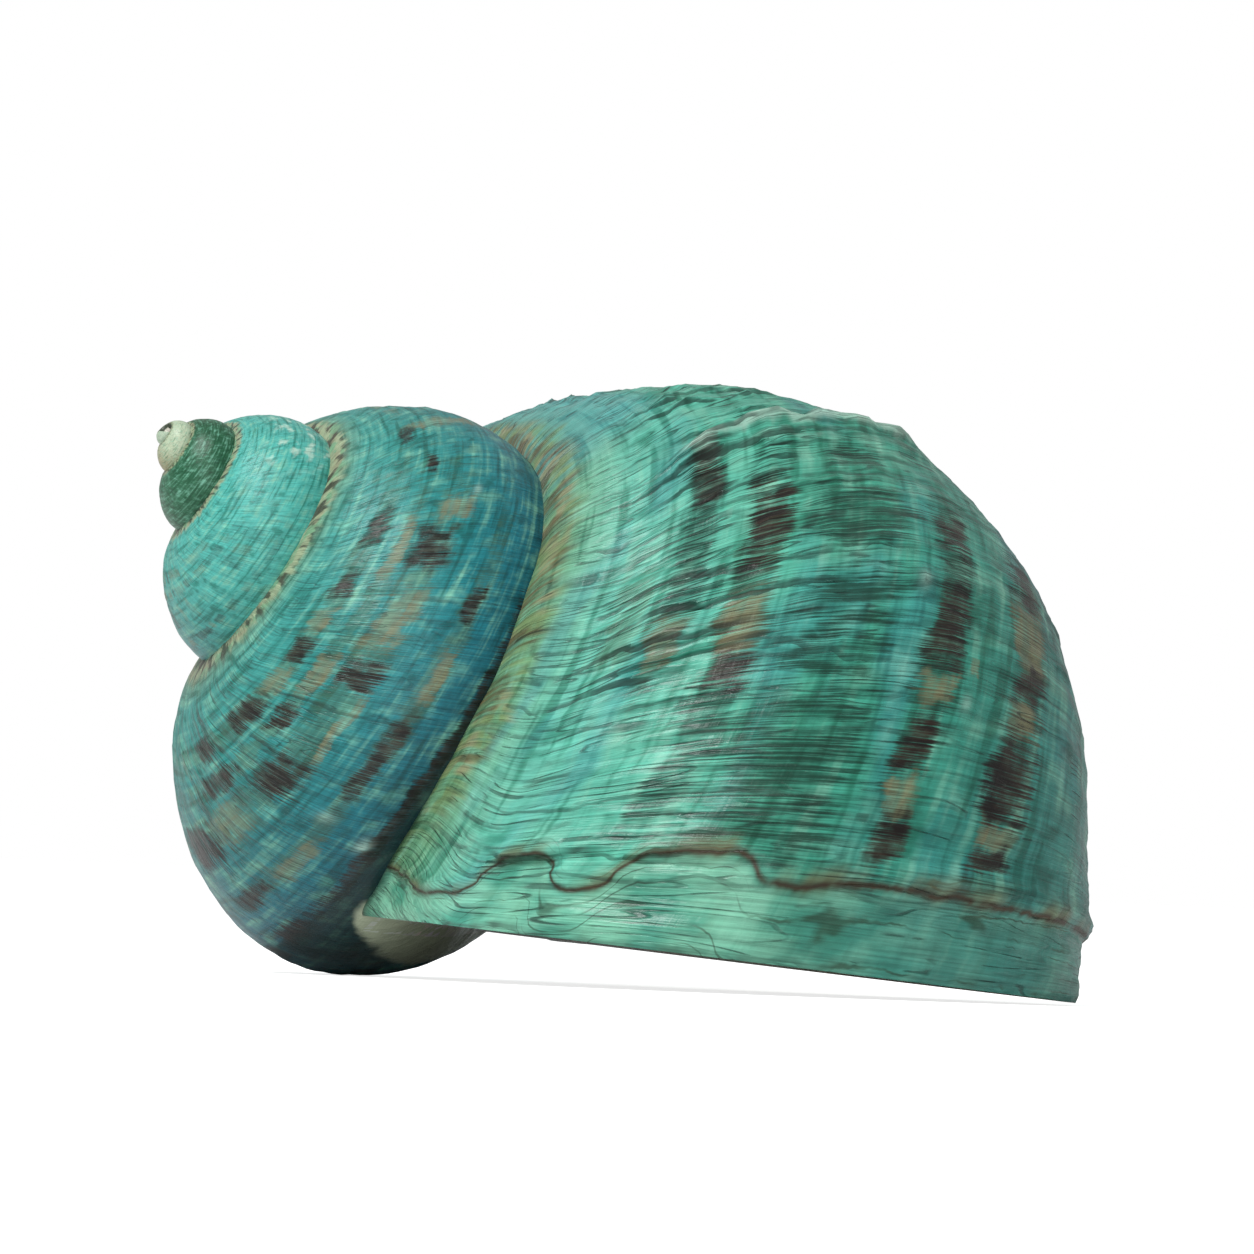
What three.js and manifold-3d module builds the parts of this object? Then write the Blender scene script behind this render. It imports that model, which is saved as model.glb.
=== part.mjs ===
// An empty turban shell, right-handed, lying on its lip and on the bulge of its
// second-last whorl. One solid that grew as one piece, with an open mouth.
// Units are mm and +Z is up.
//
// The shell is one tube wound round an axis from the apex to the mouth. Every size
// grows by the same factor in each turn. A place on the tube has two coordinates:
// turn, the angle round the axis (0 at the lip, negative towards the apex), and
// around, the angle round the tube (0 outwards, 90 at the base, 270 at the spire).

import * as THREE from 'three';
import Module from 'manifold-3d';

const wasm = await Module();
wasm.setup();

// Driving sizes, mm.
const TUBE_RADIUS = 25.5; // mean radius of the tube where it ends at the lip
const WALL = 2.3; // wall behind the lip
const RIM = 1.3; // wall right at the lip
const COLUMELLA = 3.4; // extra wall of the tube on its side against the axis

// Driving proportions.
const WHORL_GROWTH = 2.2; // growth of every size in one turn
const WHORLS = 5; // turns of the tube
const CHAMBER_WHORLS = 1.5; // turns of the hollow, counted back from the lip

// Where the tube's middle runs, in tube radii.
const REACH = 0.744; // out from the axis
const DROP = 2.033; // down from the apex
const LATE_REACH = 0.046; // more of each, and a thinner tube, close to the lip
const LATE_DROP = 0.072;
const LATE_THINNING = 0.01;
const LATE_FADE = 54; // degrees of turn in which that dies away

// How the tube's section is set, in degrees.
const SECTION_LEAN = 34.5;
const SECTION_SWING = -19.7;

// The section is a circle with a few soft lobes: how many, how far they stand out in
// early turns and at the lip, and where round the tube the first one is.
const LOBES = [
  { count: 2, early: 0.055, late: 0.021, at: 73 },
  { count: 3, early: 0.034, late: 0.053, at: -30 },
  { count: 4, early: 0.02, late: 0.005, at: 11 },
  { count: 5, early: 0.005, late: 0.005, at: 33 },
  { count: 6, early: 0.004, late: 0.004, at: -17 },
];

// Swellings and hollows of the section: size in tube radii, place and half width in
// degrees round the tube. The lip flares at the base. The side against the axis is
// pressed in, where the earlier whorls cover it, and reaches past the axis lower down,
// so no hole is left up the middle.
const LIP_FLARE = { size: 0.048, at: 77, width: 29, fade: 9.5 };
const INNER_DENT = { early: 0.155, late: 0.045, at: 200, width: 22 };
const PILLAR_SIDE = { size: 0.06, at: 148, width: 22 };

// The pillar fills the middle, which the whorls leave open, and spreads at the base
// into a pad that fills the navel beside the inner lip. Oval rings of it from the apex
// down: how far down, where the middle is off the axis and the two half widths, all in
// tube radii, and how far the oval is turned, in degrees.
const PILLAR = [
  { down: 0.04, x: 0, y: 0, long: 0.012, short: 0.012, turn: 0 },
  { down: 1.65, x: 0, y: 0, long: 0.48, short: 0.48, turn: 0 },
  { down: 1.78, x: -0.01, y: 0.13, long: 0.34, short: 0.33, turn: 0 },
  { down: 1.9, x: -0.11, y: 0.19, long: 0.34, short: 0.23, turn: 0 },
  { down: 2, x: -0.235, y: 0.19, long: 0.39, short: 0.2, turn: 8 },
  { down: 2.1, x: -0.31, y: 0.1, long: 0.4, short: 0.18, turn: 18 },
  { down: 2.2, x: -0.345, y: -0.01, long: 0.4, short: 0.145, turn: 33 },
  { down: 2.31, x: -0.314, y: -0.137, long: 0.39, short: 0.15, turn: 43 },
  { down: 2.43, x: -0.196, y: -0.306, long: 0.41, short: 0.13, turn: 60 },
  { down: 2.55, x: -0.06, y: -0.41, long: 0.37, short: 0.1, turn: 68 },
  { down: 2.67, x: 0.06, y: -0.51, long: 0.27, short: 0.047, turn: 70 },
  { down: 2.73, x: 0.1, y: -0.55, long: 0.12, short: 0.02, turn: 70 },
];

// How the shell lies: turned about its own axis, the axis leant over, then the heading.
const SPIN = -68.9;
const LEAN = 127.5;
const HEADING = 19.9;

// Facets.
const PIECES_PER_TURN = 6; // the tube is built in short closed pieces
const STEPS_BY_WHORL = [6, 5, 3, 2, 2]; // steps in one piece, from the last whorl back
const OUTER_SIDES = 30;
const INNER_SIDES = 20;
const PILLAR_SIDES = 20;
const SMALLEST = 0.03; // edges and bends below this are merged away, mm

const DEGREE = Math.PI / 180;
const PIECE = 360 / PIECES_PER_TURN;

function bump(angle, place, width) {
  const away = ((angle - place + 540) % 360) - 180;
  return Math.exp(-((away / width) ** 2));
}

// Everything that grows has this size at a turn, compared with the lip.
function growth(turn) {
  return WHORL_GROWTH ** (turn / 360);
}

function lateShare(turn) {
  return Math.exp(turn / LATE_FADE);
}

// Distance from the middle of the section to its edge, in tube radii.
function outline(turn, around) {
  const late = lateShare(turn);
  let edge = 1;
  for (const lobe of LOBES) {
    const size = lobe.early + (lobe.late - lobe.early) * late;
    edge += size * Math.cos(lobe.count * (around - lobe.at) * DEGREE);
  }
  const flare = LIP_FLARE.size * Math.exp(turn / LIP_FLARE.fade);
  edge += flare * bump(around, LIP_FLARE.at, LIP_FLARE.width);
  edge += PILLAR_SIDE.size * bump(around, PILLAR_SIDE.at, PILLAR_SIDE.width);
  const dent = INNER_DENT.early + (INNER_DENT.late - INNER_DENT.early) * late;
  edge *= 1 - dent * bump(around, INNER_DENT.at, INNER_DENT.width);
  return edge * (1 - LATE_THINNING * late);
}

// Wall between the outside and the hollow, in tube radii.
function wall(turn, around) {
  const rimShare = Math.exp(turn / 12);
  const plain = WALL + (RIM - WALL) * rimShare;
  const pillar = COLUMELLA * bump(around, PILLAR_SIDE.at, 1.6 * PILLAR_SIDE.width);
  return (plain + pillar * (1 - 0.5 * rimShare)) / TUBE_RADIUS;
}

// A place on the tube, inset from the outside, with the apex at the origin and the
// axis running from the apex to the base along +Z.
function place(turn, around, inset) {
  const late = lateShare(turn);
  const edge = outline(turn, around) - inset;
  const out = edge * Math.cos(around * DEGREE);
  const down = edge * Math.sin(around * DEGREE);
  const lean = SECTION_LEAN * DEGREE;
  const swing = SECTION_SWING * DEGREE;
  const x = REACH + LATE_REACH * late + out * Math.cos(swing);
  const y = out * Math.sin(swing) - down * Math.sin(lean);
  const z = DROP + LATE_DROP * late + down * Math.cos(lean);
  const size = TUBE_RADIUS * growth(turn);
  const cos = Math.cos(turn * DEGREE);
  const sin = Math.sin(turn * DEGREE);
  return [size * (x * cos - y * sin), size * (x * sin + y * cos), size * z];
}

function ring(turn, sides, depth) {
  const points = [];
  for (let i = 0; i < sides; i += 1) {
    const around = (360 * i) / sides;
    points.push(place(turn, around, depth(turn, around)));
  }
  return points;
}

function middle(points) {
  const sum = [0, 0, 0];
  for (const point of points) {
    for (let k = 0; k < 3; k += 1) sum[k] += point[k] / points.length;
  }
  return sum;
}

// A closed solid through a list of rings, with a flat fan over each end.
function skin(rings) {
  const sides = rings[0].length;
  const last = (rings.length - 1) * sides;
  const points = rings.flat();
  points.push(middle(rings[0]), middle(rings[rings.length - 1]));
  const startHub = points.length - 2;
  const endHub = points.length - 1;
  const faces = [];
  for (let i = 0; i < sides; i += 1) {
    const j = (i + 1) % sides;
    for (let row = 0; row < last; row += sides) {
      faces.push(row + i, row + sides + i, row + j);
      faces.push(row + j, row + sides + i, row + sides + j);
    }
    faces.push(startHub, i, j);
    faces.push(endHub, last + j, last + i);
  }
  return new wasm.Manifold(
    new wasm.Mesh({
      numProp: 3,
      vertProperties: new Float32Array(points.flat()),
      triVerts: new Uint32Array(faces),
    }),
  );
}

function stepsAt(turn) {
  const whorl = Math.min(Math.floor(-turn / 360 + 1e-6), STEPS_BY_WHORL.length - 1);
  return STEPS_BY_WHORL[whorl];
}

// One short closed piece of the tube, which ends at a turn.
function piece(endTurn, sides, depth, beyond) {
  const startTurn = endTurn - PIECE;
  const steps = stepsAt(endTurn);
  const rings = [];
  for (let i = 0; i <= steps; i += 1) {
    rings.push(ring(startTurn + (PIECE * i) / steps, sides, depth));
  }
  if (beyond > 0) rings.push(ring(endTurn + beyond, sides, depth));
  return skin(rings);
}

// The tube's outside in short pieces, from the lip back to the apex.
function outerPieces() {
  const pieces = [];
  for (let i = 0; i < WHORLS * PIECES_PER_TURN; i += 1) {
    pieces.push(piece(-i * PIECE, OUTER_SIDES, () => 0, 0));
  }
  return pieces;
}

// The hollow in short pieces. Each leaves the earlier whorls whole, so their outside
// is the inner wall of the chamber. The first piece runs out through the lip.
function hollowPieces(outers) {
  const pieces = [];
  const halfTurn = PIECES_PER_TURN / 2;
  for (let i = 0; i < CHAMBER_WHORLS * PIECES_PER_TURN; i += 1) {
    let hollow = piece(-i * PIECE, INNER_SIDES, wall, i === 0 ? 4 : 0);
    const earlier = outers.slice(i + halfTurn);
    if (earlier.length > 0) hollow = hollow.subtract(join(earlier));
    pieces.push(hollow);
  }
  return pieces;
}

function pillarRing(at) {
  const cos = Math.cos(at.turn * DEGREE);
  const sin = Math.sin(at.turn * DEGREE);
  const points = [];
  for (let i = 0; i < PILLAR_SIDES; i += 1) {
    const angle = (-2 * Math.PI * i) / PILLAR_SIDES;
    const along = at.long * Math.cos(angle);
    const across = at.short * Math.sin(angle);
    const x = at.x + along * cos - across * sin;
    const y = at.y + along * sin + across * cos;
    points.push([TUBE_RADIUS * x, TUBE_RADIUS * y, TUBE_RADIUS * at.down]);
  }
  return points;
}

function join(solids) {
  return solids.reduce((whole, solid) => whole.add(solid));
}

// Loose crumbs left by the cuts are dropped, and the largest body is the shell.
function largestBody(solid) {
  const bodies = solid.decompose();
  return bodies.reduce((best, body) => (body.volume() > best.volume() ? body : best));
}

function shellSolid() {
  const outers = outerPieces();
  const filled = join(outers).add(skin(PILLAR.map(pillarRing)));
  const whole = filled.subtract(join(hollowPieces(outers)));
  return largestBody(whole.simplify(SMALLEST));
}

function asGeometry(solid) {
  const mesh = solid.getMesh();
  const geometry = new THREE.BufferGeometry();
  const positions = new THREE.BufferAttribute(new Float32Array(mesh.vertProperties), 3);
  geometry.setAttribute('position', positions);
  geometry.setIndex(new THREE.BufferAttribute(new Uint32Array(mesh.triVerts), 1));
  geometry.computeVertexNormals();
  return geometry;
}

const SHELL_MATERIAL = new THREE.MeshStandardMaterial({
  color: 0x3f9a8c,
  roughness: 0.3,
  metalness: 0,
});
SHELL_MATERIAL.name = 'shell';

function shellMesh() {
  const mesh = new THREE.Mesh(asGeometry(shellSolid()), SHELL_MATERIAL);
  mesh.name = 'shell';
  return mesh;
}

// The shell turned into its lie, with the middle of its lowest face at the origin.
function lying(mesh) {
  const spin = new THREE.Group();
  spin.rotation.z = SPIN * DEGREE;
  spin.add(mesh);
  const lean = new THREE.Group();
  lean.rotation.y = LEAN * DEGREE;
  lean.add(spin);
  const heading = new THREE.Group();
  heading.rotation.z = HEADING * DEGREE;
  heading.add(lean);
  const box = new THREE.Box3().setFromObject(heading, true);
  const centre = box.getCenter(new THREE.Vector3());
  heading.position.set(-centre.x, -centre.y, -box.min.z);
  return heading;
}

const group = new THREE.Group();
group.name = 'turban_shell';
group.add(lying(shellMesh()));

export default group;
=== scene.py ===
"""An empty turban shell, looks and light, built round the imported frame.

The shell is one tube wound round an axis. A place on it has two coordinates: turn, the
angle round the axis in degrees (0 at the lip, negative towards the apex), and around,
the angle round the tube (0 outwards, 90 at the base, -90 at the spire, 180 inwards).
Relief, stripes and blotches are all laid in these two coordinates, as the animal laid
them. Sizes are in mm and grow by the same factor in each turn.
"""

import math

import bmesh
import bpy
from mathutils import Matrix, Vector


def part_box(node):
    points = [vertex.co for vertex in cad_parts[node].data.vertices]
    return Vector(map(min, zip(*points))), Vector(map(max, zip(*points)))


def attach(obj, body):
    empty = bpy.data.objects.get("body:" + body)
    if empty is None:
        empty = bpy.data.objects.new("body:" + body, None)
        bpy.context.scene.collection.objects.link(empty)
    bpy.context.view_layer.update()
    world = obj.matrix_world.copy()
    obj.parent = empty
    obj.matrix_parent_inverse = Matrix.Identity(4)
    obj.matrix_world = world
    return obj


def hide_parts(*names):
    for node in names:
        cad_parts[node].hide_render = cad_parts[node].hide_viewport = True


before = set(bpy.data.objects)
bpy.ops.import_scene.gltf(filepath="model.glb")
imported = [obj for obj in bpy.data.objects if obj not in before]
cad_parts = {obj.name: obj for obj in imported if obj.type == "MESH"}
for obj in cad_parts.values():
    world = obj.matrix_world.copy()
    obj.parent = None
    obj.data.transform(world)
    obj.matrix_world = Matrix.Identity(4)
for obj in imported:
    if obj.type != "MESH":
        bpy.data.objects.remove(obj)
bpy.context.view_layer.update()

MM = 0.001
DEGREE = math.pi / 180

# ---------------------------------------------------------------- driving sizes, mm
TUBE_RADIUS = 25.5  # mean radius of the tube at the lip
WALL = 2.3  # wall behind the lip
RIM = 1.3  # wall right at the lip
COLUMELLA = 3.4  # extra wall on the side against the axis
WHORL_GROWTH = 2.2  # growth of every size in one turn
WHORLS = 5
CHAMBER_WHORLS = 1.5  # turns of the hollow, counted back from the lip

# Where the tube's middle runs, in tube radii: out from the axis and down from the apex,
# with a little more of each near the lip, where the tube thins.
REACH = 0.744
DROP = 2.033
LATE_REACH = 0.046
LATE_DROP = 0.072
LATE_THINNING = 0.01
LATE_FADE = 54  # degrees of turn in which that dies away
RIM_FADE = 12  # the same for the thin rim
COLUMELLA_SPREAD = 1.6  # width of the extra wall there, in widths of PILLAR_SIDE

# How the tube's section is set, in degrees.
SECTION_LEAN = 34.5
SECTION_SWING = -19.7

# Soft lobes of the section: how many, size in early turns and at the lip, place.
LOBES = (
    (2, 0.055, 0.021, 73),
    (3, 0.034, 0.053, -30),
    (4, 0.02, 0.005, 11),
    (5, 0.005, 0.005, 33),
    (6, 0.004, 0.004, -17),
)
LIP_FLARE = dict(size=0.048, at=77, width=29, fade=9.5)
INNER_DENT = dict(early=0.155, late=0.045, at=200, width=22)
PILLAR_SIDE = dict(size=0.06, at=148, width=22)

# Oval rings of the pillar that fills the middle and spreads into the pad beside the
# inner lip: down, x, y, half widths, all in tube radii, and the oval's turn.
PILLAR = (
    (0.04, 0, 0, 0.012, 0.012, 0),
    (1.65, 0, 0, 0.48, 0.48, 0),
    (1.78, -0.01, 0.13, 0.34, 0.33, 0),
    (1.9, -0.11, 0.19, 0.34, 0.23, 0),
    (2, -0.235, 0.19, 0.39, 0.2, 8),
    (2.1, -0.31, 0.1, 0.4, 0.18, 18),
    (2.2, -0.345, -0.01, 0.4, 0.145, 33),
    (2.31, -0.314, -0.137, 0.39, 0.15, 43),
    (2.43, -0.196, -0.306, 0.41, 0.13, 60),
    (2.55, -0.06, -0.41, 0.37, 0.1, 68),
    (2.67, 0.06, -0.51, 0.27, 0.047, 70),
    (2.73, 0.1, -0.55, 0.12, 0.02, 70),
)

# How the shell lies: turned about its own axis, the axis leant over, then the heading.
SPIN = -68.9
LEAN = 127.5
HEADING = 19.9

# ---------------------------------------------------------------- fineness of the mesh
PIECES_PER_TURN = 6
STEPS_BY_WHORL = (108, 50, 22, 10, 6)  # steps in one piece, from the last whorl back
OUTER_SIDES = 112
HOLLOW_SIDES = 74
HOLLOW_STEPS = 24
PILLAR_SIDES = 40
SEAM = 198  # where the coordinate round the tube starts again, inside the solid
CENTRE_SHARE = 0.01  # nearer the middle of a cap than this, the angle has no meaning
SHARP = 40  # edges that turn more than this are sharp, degrees
PILLAR_GROWTH = (-0.1, 0.42)  # turn and around of the whole pillar, in turns
PEARLY = (1.0, 1.0)  # the zone of every face that is mother-of-pearl


# ================================================================= node-tree helpers
class Field:
    """A socket that adds, multiplies and compares like a number."""

    def __init__(self, tree, socket):
        self.tree = tree
        self.socket = socket

    def math(self, operation, *others):
        return self.tree.math(operation, self, *others)

    def __add__(self, other):
        return self.math("ADD", other)

    def __sub__(self, other):
        return self.math("SUBTRACT", other)

    def __rsub__(self, other):
        return self.tree.math("SUBTRACT", other, self)

    def __mul__(self, other):
        return self.math("MULTIPLY", other)

    def __truediv__(self, other):
        return self.math("DIVIDE", other)

    def __pow__(self, other):
        return self.math("POWER", other)

    def cos(self):
        return self.math("COSINE")

    def sin(self):
        return self.math("SINE")

    def exp(self):
        return self.math("EXPONENT")

    def abs(self):
        return self.math("ABSOLUTE")

    def floor(self):
        return self.math("FLOOR")

    def fraction(self):
        return self.math("FRACT")

    def least(self, other):
        return self.math("MINIMUM", other)

    def most(self, other):
        return self.math("MAXIMUM", other)

    def rises(self, low, high):
        """0 below low, 1 above high, smooth between. Falls where high is below low."""
        if low <= high:
            return self.tree.ramp(self, low, high, 0.0, 1.0)
        return self.tree.ramp(self, high, low, 1.0, 0.0)

    def bump(self, place, width):
        """1 at place, fading over width on both sides."""
        away = (self - place) / width
        return (away * away * -1.0).exp()

    def band(self, low, high, soft):
        """1 between low and high, with soft edges."""
        return self.rises(low - soft, low + soft) * self.rises(high + soft, high - soft)


class Tree:
    """One node tree, filled in by plain formulas."""

    def __init__(self, node_tree):
        self.made = node_tree
        self.nodes = node_tree.nodes
        self.links = node_tree.links
        self.given = {}
        self.result = None

    @classmethod
    def group(cls, name, kind, takes, gives):
        """A node group with named inputs (name, type, default) and named outputs."""
        made = bpy.data.node_groups.new(name, kind)
        for label, socket_type, default in takes:
            socket = made.interface.new_socket(
                name=label, in_out="INPUT", socket_type=socket_type
            )
            if default is not None:
                socket.default_value = default
        for label, socket_type in gives:
            made.interface.new_socket(name=label, in_out="OUTPUT", socket_type=socket_type)
        tree = cls(made)
        entry = made.nodes.new("NodeGroupInput")
        for label, _, _ in takes:
            tree.given[label] = Field(tree, entry.outputs[label])
        tree.result = made.nodes.new("NodeGroupOutput")
        return tree

    def put(self, socket, value):
        """Links a field into a socket, or sets the socket's own value."""
        if isinstance(value, Field):
            self.links.new(value.socket, socket)
        elif value is not None:
            socket.default_value = value

    def give(self, label, value):
        self.put(self.result.inputs[label], value)

    def node(self, kind, inputs=None, **settings):
        node = self.nodes.new(kind)
        for name, value in settings.items():
            setattr(node, name, value)
        for name, value in (inputs or {}).items():
            self.put(node.inputs[name], value)
        return node

    def field(self, kind, output, inputs=None, **settings):
        """One output of a new node."""
        node = self.node(kind, inputs, **settings)
        return Field(self, node.outputs[output])

    def use(self, group, inputs=None):
        """Places a node group and returns the node."""
        kind = "GeometryNodeGroup" if group.bl_idname == "GeometryNodeTree" else None
        node = self.nodes.new(kind or "ShaderNodeGroup")
        node.node_tree = group
        for name, value in (inputs or {}).items():
            self.put(node.inputs[name], value)
        return node

    def out(self, node, label):
        return Field(self, node.outputs[label])

    def math(self, operation, *values):
        node = self.node("ShaderNodeMath", operation=operation)
        for socket, value in zip(node.inputs, values):
            self.put(socket, value)
        return Field(self, node.outputs[0])

    def vector(self, operation, *values, output=0):
        node = self.node("ShaderNodeVectorMath", operation=operation)
        for socket, value in zip(node.inputs, values):
            self.put(socket, value)
        return Field(self, node.outputs[output])

    def ramp(self, value, low, high, start, end):
        return self.field(
            "ShaderNodeMapRange",
            "Result",
            {
                "Value": value,
                "From Min": low,
                "From Max": high,
                "To Min": start,
                "To Max": end,
            },
            interpolation_type="SMOOTHSTEP",
        )

    def point(self, x=0.0, y=0.0, z=0.0):
        return self.field("ShaderNodeCombineXYZ", "Vector", {"X": x, "Y": y, "Z": z})

    def parts(self, vector):
        node = self.node("ShaderNodeSeparateXYZ", {"Vector": vector})
        return [Field(self, socket) for socket in node.outputs]

    def noise(self, x, y, seed, detail=2.0, roughness=0.5):
        """Soft noise over two coordinates, about 0.5 in the middle."""
        return self.field(
            "ShaderNodeTexNoise",
            "Fac",
            {
                "Vector": self.point(x, y, float(seed)),
                "Scale": 1.0,
                "Detail": detail,
                "Roughness": roughness,
            },
        )

    def chance(self, value, seed):
        """A steady random number, 0 to 1, for each whole value."""
        return self.field(
            "ShaderNodeTexWhiteNoise",
            "Value",
            {"Vector": self.point(value, float(seed), 0.0)},
            noise_dimensions="2D",
        )

    def curve(self, value, points):
        """A smooth line through points (value, height), read at value."""
        low = points[0][0]
        high = points[-1][0]
        heights = [height for _, height in points]
        floor = min(heights)
        span = max(heights) - floor
        node = self.node(
            "ShaderNodeFloatCurve", {"Factor": 1.0, "Value": (value - low) / (high - low)}
        )
        line = node.mapping.curves[0]
        for place, height in points[1:-1]:
            line.points.new((place - low) / (high - low), (height - floor) / span)
        ends = (line.points[0], line.points[-1])
        for end, (place, height) in zip(ends, (points[0], points[-1])):
            end.location = ((place - low) / (high - low), (height - floor) / span)
        node.mapping.update()
        return Field(self, node.outputs[0]) * span + floor

    def palette(self, value, low, high, stops):
        """A colour read from stops (place, colour) along a value."""
        node = self.node("ShaderNodeValToRGB", {"Fac": (value - low) / (high - low)})
        elements = node.color_ramp.elements
        for _ in stops[2:]:
            elements.new(0.5)
        for element, (place, shade) in zip(elements, stops):
            element.position = (place - low) / (high - low)
            element.color = shade
        return Field(self, node.outputs["Color"])

    def mix(self, share, first, second, blend="MIX"):
        """Two colours mixed by a share."""
        node = self.node("ShaderNodeMix", data_type="RGBA", blend_type=blend)
        self.put(node.inputs[0], share)
        self.put(node.inputs[6], first)
        self.put(node.inputs[7], second)
        return Field(self, node.outputs[2])


# ================================================================= growth coordinates
def late_share(turn):
    return (turn / LATE_FADE).exp()


def growth(tree, turn):
    return tree.math("POWER", WHORL_GROWTH, turn / 360)


def hump(tree, around, place, width):
    away = tree.math("WRAP", around - place, 180.0, -180.0) / width
    return (away * away * -1.0).exp()


# Growth lines run along the lip, which leans back towards the suture: between which
# places round the tube, and by how many degrees of turn.
SLANT = dict(low=-64, high=-104, turn=16)


def growth_age(turn, around):
    """Turn, counted so that it stays the same all along a growth line."""
    return turn + around.rises(SLANT["low"], SLANT["high"]) * SLANT["turn"]


# The last pause in growth: around, turn.
REST_LINE = (
    (-110, -17), (-99, -14), (-86, -9), (-71, -5.4), (-65, -6.4), (-57.5, -11),
    (-51, -10), (-44, -6), (-39, -7.6), (-33, -11), (-20, -11), (-13, -8), (0, -9),
    (35, -9), (110, -9),
)


def past_rest_line(tree, turn, around):
    """Degrees of turn past the last pause in growth, whose line wanders."""
    line = tree.curve(around, REST_LINE)
    return turn - line + (tree.noise(around / 5, 0.0, 41) - 0.5) * 1.6


def outline(tree, turn, around):
    """Distance from the middle of the section to its edge, in tube radii."""
    late = late_share(turn)
    edge = None
    for count, early_size, late_size, at in LOBES:
        size = late * (late_size - early_size) + early_size
        lobe = size * ((around - at) * (count * DEGREE)).cos()
        edge = lobe + 1 if edge is None else edge + lobe
    flare = (turn / LIP_FLARE["fade"]).exp() * LIP_FLARE["size"]
    edge = edge + flare * hump(tree, around, LIP_FLARE["at"], LIP_FLARE["width"])
    pillar = hump(tree, around, PILLAR_SIDE["at"], PILLAR_SIDE["width"])
    edge = edge + pillar * PILLAR_SIDE["size"]
    dent = late * (INNER_DENT["late"] - INNER_DENT["early"]) + INNER_DENT["early"]
    edge = edge * (1 - dent * hump(tree, around, INNER_DENT["at"], INNER_DENT["width"]))
    return edge * (1 - late * LATE_THINNING)


# ================================================================= relief of the outside
# Knobs and chalky lumps of the outside: turn, around, height in mm, half sizes in degrees.
KNOBS = (
    (-84, -37, 0.7, 2.4, 4.5),
    (-81, -52, 0.5, 2.0, 4.0),
    (-47, -6, 0.45, 2.4, 2.6),
    (-31, 9, 0.35, 2.0, 2.2),
    (-408, -15, 0.5, 3.0, 3.2),
    (-318, 0, 0.35, 2.6, 6.0),
    (-314, 18, 0.75, 3.4, 4.5),
)
# Two sets of ledges along the growth lines: degrees of turn from one to the next, seed.
LEDGES = ((5.2, 7), (2.6, 11))
SCAR_TURN = -84  # where the old, healed lip is


def stepped(tree, age, around, period, seed):
    """Uneven steps: each rises slowly, then drops to the next growth line.

    Gives the height, and the share of painted shade and dirt under the drop."""
    sway = tree.noise(around / 22, age / (period * 3.5), seed, detail=3.0) * 1.9
    place = age / period + sway
    step = place.floor()
    height = tree.chance(step, seed)
    comes = tree.noise(around / 13, step * 3.7, seed + 1).rises(0.3, 0.7) * 1.5
    along = place.fraction()
    proud = height * comes
    return proud * along * along.rises(1.0, 0.86), proud.rises(0.2, 0.7) * along.rises(0.8, 0.93)


def scar(tree, turn, around):
    """An old lip, healed over: a groove and two uneven crests along one growth line."""
    wobble = (tree.noise(around / 11, 0.0, 31, detail=3.0) - 0.5) * 9
    away = growth_age(turn, around) - SCAR_TURN + wobble
    uneven = tree.noise(around / 7, turn / 9, 33) * 1.5 + 0.25
    crests = away.bump(1.4, 2.0) * 1.15 + away.bump(6.5, 1.6) * 0.5
    groove = away.bump(-2.7, 1.5) * 1.0
    reach = around.band(-58, 8, 9)
    return (crests * uneven - groove) * reach


def lip_relief(tree, turn, around):
    """The last pause in growth: a swelling, a ledge and a thinner margin."""
    away = past_rest_line(tree, turn, around)
    ledge = away.rises(-0.5, 0.5) * -0.3
    swelling = away.bump(-1.6, 1.4) * 0.4
    ripple = (tree.noise(away / 1.3, around / 12, 43) - 0.4) * away.rises(-9, 1) * 0.7
    rounding = (turn / 1.2).exp() * -0.3
    clear = around.rises(-104, -88) * around.rises(110, 86)
    return (ledge + swelling + ripple) * clear + rounding


def relief_group():
    """Height of the outside over its smooth form, in mm at the size of the lip."""
    tree = Tree.group(
        "Growth Relief",
        "GeometryNodeTree",
        (("Turn", "NodeSocketFloat", 0.0), ("Around", "NodeSocketFloat", 0.0)),
        (("Height", "NodeSocketFloat"),),
    )
    turn = tree.given["Turn"]
    around = tree.given["Around"]
    age = growth_age(turn, around)

    # Strongest on the shoulder of the last whorl, and smooth where a later whorl or the
    # pad covers it.
    crowded = around.bump(-48, 30) * 0.8 + 0.2
    body = turn.rises(-250, -150)
    strength = crowded * (body * 0.65 + 0.35) + (turn / 14).exp() * 0.15
    strength = strength * (around.rises(-88, -60) * 0.93 + 0.07)
    covered = (turn.rises(-250, -290) * around.rises(14, 30)).most(around.rises(72, 96))
    strength = strength * (1 - covered)

    sway = tree.noise(age / 15, around / 20, 4, detail=2.0) * 3.0
    folds = (tree.noise(age / 3.4 + sway, around / 48, 3, detail=1.0) - 0.5) * 1.5
    swells = (tree.noise(age / 26, around / 32, 5) - 0.5) * 1.2
    lumps = (tree.noise(age / 4, around / 6, 6) - 0.5) * 1.1
    wrinkles = stepped(tree, age, around, *LEDGES[0])[0] * 0.8
    wrinkles = wrinkles + stepped(tree, age, around, *LEDGES[1])[0] * 0.5
    wrinkles = wrinkles * around.rises(-70, -55)
    cords = (around / 9.5 * (2 * math.pi)).sin() * 0.03
    height = (folds + lumps + wrinkles) * strength + swells + cords
    height = height + scar(tree, turn, around) + lip_relief(tree, turn, around)
    for knob_turn, knob_around, size, long, wide in KNOBS:
        height = height + turn.bump(knob_turn, long) * around.bump(knob_around, wide) * size
    tree.give("Height", height)
    return tree.made


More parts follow.
